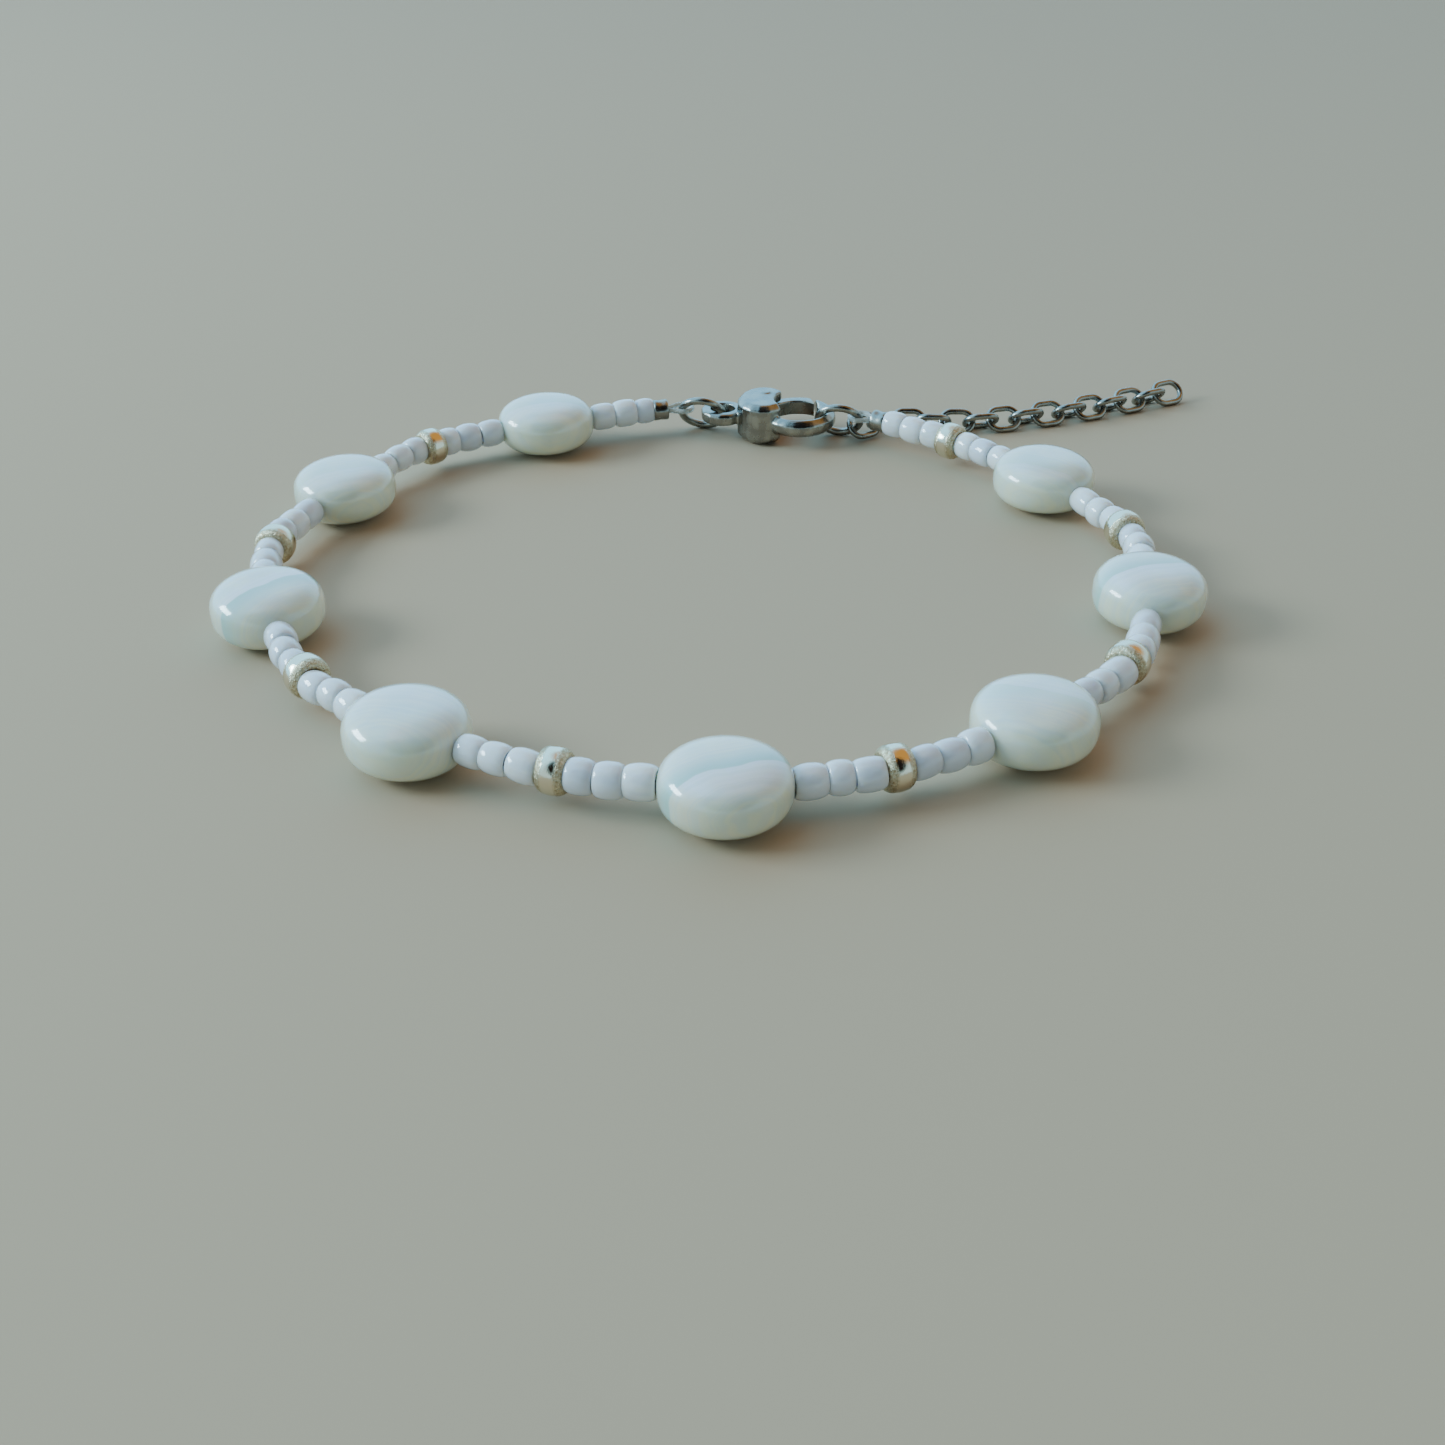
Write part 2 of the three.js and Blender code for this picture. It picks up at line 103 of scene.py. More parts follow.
camera = bpy.data.objects.new("camera", bpy.data.cameras.new("camera"))
bpy.context.collection.objects.link(camera)
camera.data.sensor_width = SENSOR
camera.data.lens = SENSOR * FOCAL_PIXELS / FRAME_PIXELS
camera.data.clip_start = NEAREST_SEEN * MM
camera.data.clip_end = FARTHEST_SEEN * MM
camera.location = box_middle(FRONT_BEAD) + np.array([0, -CAMERA_BACK, CAMERA_UP]) * MM
camera.rotation_euler = (math.radians(90 - CAMERA_PITCH), math.radians(CAMERA_ROLL), 0)
bpy.context.scene.camera = camera
print("camera at", [round(v / MM, 1) for v in camera.location], "mm, lens", round(camera.data.lens, 2))

# %% [markdown]
# ## Where each bead points
#
# A bead follows the thread, so its direction is the one from the bead before it to the bead after
# it. The order on the thread is known: a run of seeds, a shell bead, a run, a metal bead, and so on.
# That is simpler than measuring each solid, and it gives the smooth turning of a real string.

# %% Order and direction on the thread
SHELLS = 8
string = ["crimp_1", "seed_run_1", "shell_bead_1"]
for i in range(2, SHELLS + 1):
    string += [f"seed_run_{2 * i - 2}", f"metal_bead_{i - 1}", f"seed_run_{2 * i - 1}", f"shell_bead_{i}"]
string += [f"seed_run_{2 * SHELLS}", f"metal_bead_{SHELLS}", f"seed_run_{2 * SHELLS + 1}", "crimp_2"]
middles = {name: box_middle(name) for name in string}


def unit(vector):
    """The same direction at length one: each vector over its own length."""
    return vector / np.linalg.norm(vector, axis=-1, keepdims=True)


def thread_axes(name):
    """Rows are the directions of a bead's own X, Y and Z: X along the thread, Z as near up as can be."""
    i = string.index(name)
    before, after = string[max(i - 1, 0)], string[min(i + 1, len(string) - 1)]
    along = unit(middles[after] - middles[before])
    side = unit(np.cross([0, 0, 1.0], along))
    return np.array([along, side, np.cross(along, side)])


print("on the thread:", len(string), "pieces")

# %% [markdown]
# ## From a grid of points to a mesh
#
# All the pieces here have a hole through them or are rings of wire, so their surfaces close on
# themselves both ways round, like a doughnut. One function takes such grids and joins each point to
# its neighbours with four-sided faces. It also keeps two things that the finishes need: each point's
# place in the piece's own directions, in millimetres, and any other number asked for.

# %% Mesh from grids
SAME_PLACE = 0.001
CORNERS = 4


def grid_faces(rows, columns, wrap_rows):
    """Indices of the four corners of every cell; the last column joins the first."""
    r = np.arange(rows if wrap_rows else rows - 1)[:, None]
    c = np.arange(columns)[None, :]
    r2, c2 = (r + 1) % rows, (c + 1) % columns
    corners = [r * columns + c, r * columns + c2, r2 * columns + c2, r2 * columns + c]
    return np.stack(corners, -1).reshape(-1, CORNERS)


def enclosed(points, faces):
    """Six times the volume inside: the sum over the faces of their corners' triple products."""
    a, b, c, d = (points[faces[:, k]] for k in range(CORNERS))
    return (np.cross(a, b) * c).sum() + (np.cross(a, c) * d).sum()


def merged(mesh, nearer_than):
    """Makes one point of all those that lie in the same place."""
    shape = bmesh.new()
    shape.from_mesh(mesh)
    bmesh.ops.remove_doubles(shape, verts=shape.verts, dist=nearer_than)
    shape.to_mesh(mesh)
    shape.free()


def make_mesh(name, grids, pointed=()):
    """One mesh from grids, each a dict of points (rows, columns, 3) and per-point numbers. A grid whose
    number is in pointed doesn't join up end to end: its first and last rows each shrink to a point."""
    points, faces, start = [], [], 0
    for k, grid in enumerate(grids):
        rows, columns = grid["points"].shape[:2]
        own = grid["points"].reshape(-1, 3)
        cells = grid_faces(rows, columns, k not in pointed)
        if enclosed(own - own.mean(0), cells) < 0:
            cells = cells[:, ::-1]
        points.append(own)
        faces.append(cells + start)
        start += len(own)
    points, faces = np.concatenate(points), np.concatenate(faces)
    mesh = bpy.data.meshes.new(name)
    mesh.vertices.add(len(points))
    mesh.vertices.foreach_set("co", points.astype(np.float32).ravel())
    mesh.loops.add(faces.size)
    mesh.loops.foreach_set("vertex_index", faces.ravel().astype(np.int32))
    mesh.polygons.add(len(faces))
    mesh.polygons.foreach_set("loop_start", np.arange(0, faces.size, CORNERS, dtype=np.int32))
    for key in [key for key in grids[0] if key != "points"]:
        values = np.concatenate([grid[key].ravel() for grid in grids]).astype(np.float32)
        if len(values) > len(points):
            mesh.attributes.new(key, "FLOAT_VECTOR", "POINT").data.foreach_set("vector", values)
        else:
            mesh.attributes.new(key, "FLOAT", "POINT").data.foreach_set("value", values)
    mesh.update(calc_edges=True)
    if pointed:
        merged(mesh, SAME_PLACE * MM)
    mesh.validate()
    mesh.shade_smooth()
    return mesh


def add_piece(mesh, nodes, body, material):
    """Puts a mesh in the scene in place of its solids, on the body that carries it."""
    piece = bpy.data.objects.new(mesh.name, mesh)
    bpy.context.collection.objects.link(piece)
    mesh.materials.append(material)
    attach(piece, body)
    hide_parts(*nodes)
    return piece


def laid(local, centre, axes, **extra):
    """A grid worked out in millimetres in a piece's own directions, laid at its place in metres."""
    return {"points": centre + (local * MM) @ axes, "own": local, **extra}


print("a closed grid of 3 by 4 points has", len(grid_faces(3, 4, True)), "faces")

# %% [markdown]
# ## Colours and nodes
#
# Colours are given as ordinary hex values, and the renderer works in linear light, so one
# function turns them. Another adds a node, sets its choices and fills its inputs, and gives back the
# output, ready for the next node. With it a material reads from top to bottom, from the place on the
# bead to what the eye sees there. A Map Range node appears often: it turns one stretch of a number
# into another, with an eased start and end.

# %% Material helpers
EASED = {"interpolation_type": "SMOOTHSTEP"}
COLOURS = {"data_type": "RGBA"}
TIMES = {"operation": "MULTIPLY"}
PLUS = {"operation": "ADD"}
MINUS = {"operation": "SUBTRACT"}
OVER = {"operation": "DIVIDE"}


def linear(text, alpha=1.0):
    """sRGB hex to linear light: the standard curve, straight near black and a power of 2.4 above."""
    channels = [int(text[i:i + 2], 16) / 255 for i in (1, 3, 5)]
    return [c / 12.92 if c <= 0.04045 else ((c + 0.055) / 1.055) ** 2.4 for c in channels] + [alpha]


def new_material(name):
    """A material with its node tree and its one surface shader."""
    material = bpy.data.materials.new(name)
    material.use_nodes = True
    tree = material.node_tree
    return material, tree, tree.nodes["Principled BSDF"]


def fill(node, **inputs):
    """Fills inputs by name, with _ for a space: another node's output is linked, a value is set. Of
    several inputs with one name, the one in use is taken. _0 and _1 are the first and the second."""
    for name, value in inputs.items():
        if name[0] == "_":
            socket = node.inputs[int(name[1:])]
        else:
            socket = next(s for s in node.inputs if s.enabled and s.name == name.replace("_", " "))
        if isinstance(value, bpy.types.NodeSocket):
            node.id_data.links.new(value, socket)
        else:
            socket.default_value = value


def add(tree, kind, settings=None, give=None, **inputs):
    """Adds a node, sets its choices and fills its inputs. Gives back the output called give, or else
    the first one in use."""
    node = tree.nodes.new(f"ShaderNode{kind}")
    for key, value in (settings or {}).items():
        setattr(node, key, value)
    fill(node, **inputs)
    return next(s for s in node.outputs if s.enabled and give in (None, s.name))


def span(low, high, first=0.0, last=1.0):
    """The limits of a Map Range node: as its value goes from low to high, it goes from first to last."""
    return {"From_Min": low, "From_Max": high, "To_Min": first, "To_Max": last}


print("hex 808080 in linear light:", round(linear("#808080")[0], 3))

# %% [markdown]
# ## Mother-of-pearl
#
# The large beads are cut from mother-of-pearl: thousands of layers of shell crystal, ground to a
# puffed round and tumbled until they shine. Light goes a little way in, which softens shadows and
# gives a pale, slightly green body. Warm light from the table shows through the thin rim, and that
# is painted in as a yellow glow, more on the underside. The cut also meets the shell's growth layers
# at an angle. Where a layer ends at the surface there is a straight edge, lilac white on one side and
# green cream on the other, fading away from the edge. On the strongest bands the lilac white also
# stands for a painted highlight, the window's streak on the layer's facet. That edge is what tells
# shell from plastic, so each bead carries its own: the distance to a tilted plane is worked out for
# each point and kept with the mesh, and the material turns that distance into the band.

# %% Mother-of-pearl material
# The rim colour is a painted glow of warm table light shining through the thin shell.
PEARL = {"green": "#DFEBE5", "cream": "#F1F2E4", "blush": "#F6E2D8", "rim": "#E2DDB0"}
# The band colour is the layer's own lilac white; on the strongest bands it also stands for a painted
# highlight of the window.
GROWTH = {"band": "#F3F6FF", "before band": "#A8CEC6", "line": "#C9D8DC"}
# How much of each tint shows where it is strongest.
BLUSH_MOST, PAINTED_RIM_GLOW_MOST, BEFORE_MOST, LINE_MOST = 0.45, 0.6, 0.9, 0.28
# Sizes in millimetres: cloudy patches, blushes, waves in the layer's edge and how far these reach,
# how soft the edge is, how far the darker side reaches, the layers' thickness, and how deep light goes.
CLOUD_SIZE, BLUSH_SIZE = 2.5, 3.2
WAVE_SIZE, WAVE_REACH = 1.6, 0.12
EDGE_SOFTNESS, BEFORE_REACH = 0.12, 1.8
LAYER_THICKNESS = 0.35
PEARL_DEPTH = 1.8
PEARL_GLOW = (1.0, 0.9, 0.65)


def growth_layer(tree, place):
    """Distance past the edge of one growth layer, in millimetres, with slow waves in the edge."""
    distance = add(tree, "Attribute", {"attribute_name": "layer"}, "Fac")
    waves = add(tree, "TexNoise", Vector=place, Scale=1 / WAVE_SIZE, Detail=1.0)
    bend = add(tree, "MapRange", EASED, Value=waves, **span(0.2, 0.8, -WAVE_REACH, WAVE_REACH))
    return add(tree, "Math", PLUS, _0=distance, _1=bend)


def shell_body(tree, place, thin):
    """Green and cream clouds with a rare blush, and a painted yellow glow of table light where the bead is
    thin.
    """
    clouds = add(tree, "TexNoise", Vector=place, Scale=1 / CLOUD_SIZE, Detail=3.0, Roughness=0.55)
    cream = add(tree, "MapRange", EASED, Value=clouds, **span(0.35, 0.65))
    body = add(tree, "Mix", COLOURS, Factor=cream, A=linear(PEARL["green"]), B=linear(PEARL["cream"]))
    patches = add(tree, "TexNoise", Vector=place, Scale=1 / BLUSH_SIZE, Detail=1.0)
    blush = add(tree, "MapRange", EASED, Value=patches, **span(0.52, 0.75, 0.0, BLUSH_MOST))
    body = add(tree, "Mix", COLOURS, Factor=blush, A=body, B=linear(PEARL["blush"]))
    # Painted glow: warm light bounced from the table through the thin rim and underside.
    rim = add(tree, "MapRange", EASED, Value=thin, **span(0.72, 1.15))
    rim = add(tree, "Math", TIMES, _0=rim, _1=PAINTED_RIM_GLOW_MOST)
    return add(tree, "Mix", COLOURS, Factor=rim, A=body, B=linear(PEARL["rim"]))


def growth_band(tree, body, layer, thin):
    """A bright band that starts at the layer's edge and fades away from it, on the bead's face alone,
    and a darker side before the edge. The band is the layer's own lilac white, and where it is
    strong it is also a painted highlight of the window."""
    strength = add(tree, "Attribute", {"attribute_name": "flash"}, "Fac")
    reach = add(tree, "Attribute", {"attribute_name": "reach"}, "Fac")
    edge = add(tree, "MapRange", EASED, Value=layer, **span(0.0, EDGE_SOFTNESS))
    share = add(tree, "Math", OVER, _0=layer, _1=reach)
    fade = add(tree, "MapRange", EASED, Value=share, **span(0.2, 1.0, 1.0, 0.0))
    face = add(tree, "MapRange", EASED, Value=thin, **span(0.74, 0.97, 1.0, 0.0))
    band = add(tree, "Math", TIMES, _0=edge, _1=fade)
    band = add(tree, "Math", TIMES, _0=band, _1=face)
    band = add(tree, "Math", TIMES, _0=band, _1=strength)
    # The band: the layer's lilac white, and on the strongest bands also a painted highlight of the window.
    body = add(tree, "Mix", COLOURS, Factor=band, A=body, B=linear(GROWTH["band"]))
    side = add(tree, "MapRange", EASED, Value=layer, **span(-BEFORE_REACH, -0.05))
    not_yet = add(tree, "Math", MINUS, _0=1.0, _1=edge)
    most = add(tree, "Math", TIMES, _0=strength, _1=BEFORE_MOST)
    before = add(tree, "Math", TIMES, _0=side, _1=not_yet)
    before = add(tree, "Math", TIMES, _0=before, _1=most)
    return add(tree, "Mix", COLOURS, Factor=before, A=body, B=linear(GROWTH["before band"]))


def growth_lines(tree, body, layer):
    """Fine lines where the surface cuts the layers: noise along the distance, in layers' thicknesses."""
    count = add(tree, "Math", TIMES, _0=layer, _1=1 / LAYER_THICKNESS)
    waves = add(tree, "TexNoise", {"noise_dimensions": "1D"}, W=count, Scale=1.0, Detail=2.0)
    lines = add(tree, "MapRange", EASED, Value=waves, **span(0.4, 0.62))
    lines = add(tree, "Math", TIMES, _0=lines, _1=LINE_MOST)
    return add(tree, "Mix", COLOURS, Factor=lines, A=body, B=linear(GROWTH["line"]))


def mother_of_pearl():
    """Tumbled mother-of-pearl: light enters it and comes back soft, under a clear wet-looking gloss."""
    material, tree, shader = new_material("tumbled_mother_of_pearl")
    place = add(tree, "Attribute", {"attribute_name": "own"}, "Vector")
    thin = add(tree, "Attribute", {"attribute_name": "rim"}, "Fac")
    layer = growth_layer(tree, place)
    body = growth_band(tree, shell_body(tree, place, thin), layer, thin)
    fill(shader, Base_Color=growth_lines(tree, body, layer), IOR=1.56, Roughness=0.2)
    fill(shader, Subsurface_Weight=0.75, Subsurface_Radius=PEARL_GLOW, Subsurface_Scale=PEARL_DEPTH * MM)
    fill(shader, Coat_Weight=1.0, Coat_Roughness=0.05, Coat_IOR=1.65)
    return material


pearl = mother_of_pearl()
print("made", pearl.name, "with", len(pearl.node_tree.nodes), "nodes")

# %% [markdown]
# ## Shell beads
#
# Seen from above the bead is nearly a circle, and from the side it is a full lens with a soft rim. A
# bead with a hole is easiest as slices across the thread: at each slice the outline is found as the
# distance from the thread at which a point lies on the bead, by halving an interval on the whole
# array at once. The slices run from one mouth of the hole to the other and come back through it.

# %% Shell bead
BEAD = {"length": 7.7, "width": 7.4, "thickness": 4.0, "hole": 1.0}
LENS_POWER = 2.75
SLICES, ROUND = 84, 112
HALVINGS = 40
# The outside ends at this share of the half length. There the mouth of the hole stands out a little
# and is a little wide, and just inside it is a little narrow, which makes a soft lip. The tunnel has
# three rings at shares of the same length.
END_SHARE = 0.988
LIP_OUT, LIP_WIDE = 0.02, 0.03
LIP_IN, LIP_NARROW = 0.05, 0.02
TUNNEL = (0.8, 0.0, -0.8)
# Thin parts get a painted yellow glow, of warm light bounced up from the table through the shell:
# the rim, and more so its underside.
UNDERSIDE_PAINTED_GLOW = 0.5
# How far wear moves the surface in, as a share of its distance from the bead's middle, and how fast
# that changes: the usual growth of a sine's angle in a millimetre, in radians.
WEAR, WEAR_CHANGE = 0.025, 0.5
# How each bead's growth layers lie: turn of the edge line seen from above and its shift from the
# middle, towards the viewer, then how strongly and how far the band shows, and the layer's lean.
# The strongest bands are partly a painted highlight of the window on the layer's facet.
LAYERS = [
    {"turn": 12, "shift": 1.2, "flash": 0.4, "reach": 3.0, "lean": 20},
    {"turn": 25, "shift": 0.6, "flash": 0.3, "reach": 4.0, "lean": -10},
    {"turn": 46, "shift": 0.5, "flash": -1.0, "reach": 1.4, "lean": 0},
    {"turn": -14, "shift": -1.1, "flash": 0.35, "reach": 4.0, "lean": 25},
    {"turn": 21, "shift": 0.95, "flash": 1.0, "reach": 3.4, "lean": 0},
    {"turn": 160, "shift": 0.8, "flash": 0.4, "reach": 2.0, "lean": 15},
    {"turn": 18, "shift": -0.1, "flash": 0.9, "reach": 2.6, "lean": 0},
    {"turn": -30, "shift": 1.4, "flash": 0.3, "reach": 3.4, "lean": -15},
]


def lens_radius(along, angle):
    """Distance from the thread at which the bead's surface lies: halving between nothing and its
    half width, where a point is inside while (plan distance)^p + (height)^p is under one."""
    low, high = np.zeros_like(angle + along), np.full_like(angle + along, BEAD["width"])
    for _ in range(HALVINGS):
        middle = (low + high) / 2
        across, up = middle * np.cos(angle), middle * np.sin(angle)
        plan = np.hypot(along / (BEAD["length"] / 2), across / (BEAD["width"] / 2))
        inside = plan ** LENS_POWER + np.abs(up / (BEAD["thickness"] / 2)) ** LENS_POWER < 1
        low, high = np.where(inside, middle, low), np.where(inside, high, middle)
    return low


def shell_bead_grid():
    """Rows run along the outside from mouth to mouth, closer near the ends, and back in the hole."""
    angle = np.linspace(0, 2 * np.pi, ROUND, endpoint=False)[None, :]
    reach = BEAD["length"] / 2 * END_SHARE
    along = -reach * np.cos(np.linspace(0, np.pi, SLICES))[:, None]
    hole = BEAD["hole"] / 2
    mouth = [(-reach + LIP_IN, hole - LIP_NARROW), (-reach - LIP_OUT, hole + LIP_WIDE)]
    far_mouth = [(-place, size) for place, size in mouth[::-1]]
    tunnel = [(share * reach, hole) for share in TUNNEL]
    rings = [np.array(group).T[:, :, None] + 0 * angle for group in (mouth, far_mouth + tunnel)]
    x = np.concatenate([rings[0][0], along + 0 * angle, rings[1][0]])
    r = np.concatenate([rings[0][1], lens_radius(along, angle), rings[1][1]])
    return np.stack([x, r * np.cos(angle), r * np.sin(angle)], -1)


def worn(grid):
    """No bead is perfect: every point moves in by a share of its distance from the middle. The share is
    the mean of three sines of the place, each along its own random direction."""
    waves, starts = rng.normal(0, WEAR_CHANGE, (3, 3)), rng.uniform(0, 2 * np.pi, 3)
    dip = np.sin(grid @ waves.T + starts).mean(-1, keepdims=True)
    return grid * (1 - WEAR * (1 + dip) / 2)


bead_grid = shell_bead_grid()
for i, row in enumerate(LAYERS, 1):
    name = f"shell_bead_{i}"
    axes = thread_axes(name)
    turn, lean = math.radians(row["turn"]), math.radians(row["lean"])
    toward = np.array([math.sin(turn) * math.cos(lean), -math.cos(turn) * math.cos(lean), math.sin(lean)])
    sign = math.copysign(1, row["flash"])
    layer = sign * (bead_grid @ axes @ toward - row["shift"])
    rim = np.hypot(bead_grid[..., 0] / BEAD["length"], bead_grid[..., 1] / BEAD["width"]) * 2
    rim = rim + UNDERSIDE_PAINTED_GLOW * np.maximum(-bead_grid[..., 2], 0) / BEAD["thickness"]
    flash, reach = np.full(rim.shape, abs(row["flash"])), np.full(rim.shape, row["reach"])
    grid = laid(worn(bead_grid), middles[name], axes, layer=layer, rim=rim, flash=flash, reach=reach)
    grid["own"] = bead_grid + rng.uniform(-FAR, FAR, 3)
    add_piece(make_mesh(f"pearl_{i}", [grid]), [name], "bracelet", pearl)
print("shell beads:", len(LAYERS), "with", bead_grid.shape[0] * bead_grid.shape[1], "points each")

# %% [markdown]
# ## Glass seed beads
#
# A seed bead is a slice of drawn glass tube, tumbled in a hot drum until its cut ends go round. Its
# wall, cut along the thread, is therefore a small rounded oblong. One function makes such a ring for
# every short bead here. No two slices are alike, so length, girth and tilt differ a little, seeded.

# %% Seed beads
SEED = {"width": 2.12, "hole": 0.9, "power": 2.08}
SEEDS_IN_RUN = 3
RUN_LENGTH = 5.2
# How far single seeds depart from the usual one: shares of its length, width and power, a tilt, and a
# shift off the thread in millimetres.
SEED_LENGTHS = (0.82, 1.18)
SEED_WIDTHS = (0.91, 1.04)
SEED_POWERS = (0.92, 1.12)
SEED_TILT = math.radians(3.5)
SEED_SHIFT = 0.08


def ring_bead(length, width, hole, power, rows=36, columns=48):
    """A ring about X whose wall section is |x|^p + |r|^p = 1, x and r being shares of its half sizes."""
    turn = np.linspace(0, 2 * np.pi, columns, endpoint=False)[None, :]
    t = np.linspace(0, 2 * np.pi, rows, endpoint=False)[:, None]
    size = 1 / (np.abs(np.cos(t)) ** power + np.abs(np.sin(t)) ** power) ** (1 / power)
    x = length / 2 * size * np.cos(t) + 0 * turn
    radius = (width + hole) / 4 + (width - hole) / 4 * size * np.sin(t)
    return np.stack([x, radius * np.cos(turn), radius * np.sin(turn)], -1)


def tilted(local, yaw, pitch):
    """Turns a bead's points a little about its own up and then its own side direction."""
    c, s = math.cos(yaw), math.sin(yaw)
    flat = local @ np.array([[c, s, 0], [-s, c, 0], [0, 0, 1]])
    c, s = math.cos(pitch), math.sin(pitch)
    return flat @ np.array([[c, 0, s], [0, 1, 0], [-s, 0, c]])


# The glass is milky white with brighter streaks, and the greyest seeds are shaded. Drawing the tube has
# drawn out the streaks: there are fewer in a millimetre along the thread than across it.
MILK = {"dim": "#EEF1F5", "bright": "#F8F8F8", "shade": "#D0D5E2"}
SHADE_MOST = 0.65
STREAKS_IN_MM = (0.3, 1.92, 1.92)
DENTS_IN_MM, DENT_DEPTH = 2.2, 0.05
GLASS_DEPTH = 0.6
GLASS_GLOW = (0.7, 0.8, 1.0)


def white_glass():
    """Opaque white glass: milky, with a little light inside, and a wet gloss outside."""
    material, tree, shader = new_material("opaque_white_glass")
    place = add(tree, "Attribute", {"attribute_name": "own"}, "Vector")
    streaks = add(tree, "Mapping", Vector=place, Scale=STREAKS_IN_MM)
    milk = add(tree, "TexNoise", Vector=streaks, Scale=1.0, Detail=2.0)
    bright = add(tree, "MapRange", EASED, Value=milk, **span(0.35, 0.7))
    body = add(tree, "Mix", COLOURS, Factor=bright, A=linear(MILK["dim"]), B=linear(MILK["bright"]))
    tone = add(tree, "Attribute", {"attribute_name": "tone"}, "Fac")
    shade = add(tree, "Math", TIMES, _0=tone, _1=SHADE_MOST)
    body = add(tree, "Mix", COLOURS, Factor=shade, A=body, B=linear(MILK["shade"]))
    fill(shader, Base_Color=body, IOR=1.52, Roughness=0.08)
    fill(shader, Subsurface_Weight=0.6, Subsurface_Radius=GLASS_GLOW, Subsurface_Scale=GLASS_DEPTH * MM)
    fill(shader, Coat_Weight=1.0, Coat_Roughness=0.03)
    dents = add(tree, "TexNoise", Vector=place, Scale=DENTS_IN_MM, Detail=1.0)
    fill(shader, Normal=add(tree, "Bump", Height=dents, Strength=0.5, Distance=DENT_DEPTH * MM))
    return material


glass = white_glass()
runs = [name for name in string if name.startswith("seed_run")]
for number_of_run, name in enumerate(runs):
    axes, grids = thread_axes(name), []
    lengths = rng.uniform(*SEED_LENGTHS, SEEDS_IN_RUN)
    lengths *= RUN_LENGTH / lengths.sum()
    places = np.cumsum(lengths) - lengths / 2 - RUN_LENGTH / 2
    for place, length in zip(places, lengths):
        width = SEED["width"] * rng.uniform(*SEED_WIDTHS)
        power = SEED["power"] * rng.uniform(*SEED_POWERS)
        bead = ring_bead(length, width, SEED["hole"], power)
        bead = tilted(bead, *rng.uniform(-SEED_TILT, SEED_TILT, 2))
        shift = np.array([place, *rng.uniform(-SEED_SHIFT, SEED_SHIFT, 2)])
        grid = laid(bead + shift, middles[name], axes, tone=np.full(bead.shape[:2], rng.uniform()))
        grid["own"] = bead + rng.uniform(-FAR, FAR, 3)
        grids.append(grid)
    add_piece(make_mesh(f"seeds_{number_of_run + 1}", grids), [name], "bracelet", glass)
print("seed beads:", len(runs) * SEEDS_IN_RUN)

# %% [markdown]
# ## Metal beads
#
# The metal beads are stamped brass, silver plated. Rubbing against their neighbours has polished the
# belly and left the shoulders duller and faintly pitted, with a warm grime near the hole. So one
# number, the distance from the bead's middle along the thread, drives both roughness and colour.

# %% Metal beads
METAL = {"length": 1.7, "width": 2.8, "hole": 1.1, "power": 2.2}
# Where the polished belly ends and the dull shoulder is full, as shares of the half length.
SHOULDER = (0.34, 0.62)
PLATE = {"belly": "#EAE0C8", "shoulder": "#D9CDAE", "grime": "#A0825A"}
GRIME_MOST = 0.75
SPECKS_IN_MM, PIT_DEPTH = 6.0, 0.03
# Roughness of the belly, and what the shoulder and the grime add to it.
BELLY_ROUGH, SHOULDER_ROUGH, GRIME_ROUGH = 0.05, 0.22, 0.2
# The belly has pits too, this share as deep as the shoulder's.
BELLY_PITS = 0.12


def silver_plate():
    """Silver-plated brass: a mirror on the belly, a dull warm shoulder, brown specks of grime."""
    material, tree, shader = new_material("silver_plated_brass")
    place = add(tree, "Attribute", {"attribute_name": "own"}, "Vector")
    past_middle = add(tree, "Attribute", {"attribute_name": "shoulder"}, "Fac")
    shoulder = add(tree, "MapRange", EASED, Value=past_middle, **span(*SHOULDER))
    specks = add(tree, "TexNoise", Vector=place, Scale=SPECKS_IN_MM, Detail=4.0, Roughness=0.7)
    grime = add(tree, "MapRange", EASED, Value=specks, **span(0.42, 0.66))
    grime = add(tree, "Math", TIMES, _0=grime, _1=shoulder)
    body = add(tree, "Mix", COLOURS, Factor=shoulder, A=linear(PLATE["belly"]), B=linear(PLATE["shoulder"]))
    brown = add(tree, "Math", TIMES, _0=grime, _1=GRIME_MOST)
    body = add(tree, "Mix", COLOURS, Factor=brown, A=body, B=linear(PLATE["grime"]))
    dull = add(tree, "Math", TIMES, _0=shoulder, _1=SHOULDER_ROUGH)
    dirty = add(tree, "Math", TIMES, _0=grime, _1=GRIME_ROUGH)
    rough = add(tree, "Math", PLUS, _0=dull, _1=dirty)
    rough = add(tree, "Math", PLUS, _0=rough, _1=BELLY_ROUGH)
    fill(shader, Base_Color=body, Roughness=rough, Metallic=1.0)
    pits = add(tree, "MapRange", EASED, Value=specks, **span(0.3, 0.7))
    where = add(tree, "Math", PLUS, _0=shoulder, _1=BELLY_PITS)
    pits = add(tree, "Math", TIMES, _0=pits, _1=where)
    fill(shader, Normal=add(tree, "Bump", Height=pits, Strength=0.8, Distance=PIT_DEPTH * MM))
    return material


plate = silver_plate()
metal_beads = [name for name in string if name.startswith("metal_bead")]
for name in metal_beads:
    bead = ring_bead(**METAL)
    shoulder = np.abs(bead[..., 0]) / (METAL["length"] / 2)
    grid = laid(bead, middles[name], thread_axes(name), shoulder=shoulder)
    grid["own"] = bead + rng.uniform(-FAR, FAR, 3)
    add_piece(make_mesh(f"plated_{name}", [grid]), [name], "bracelet", plate)
print("metal beads:", len(metal_beads))

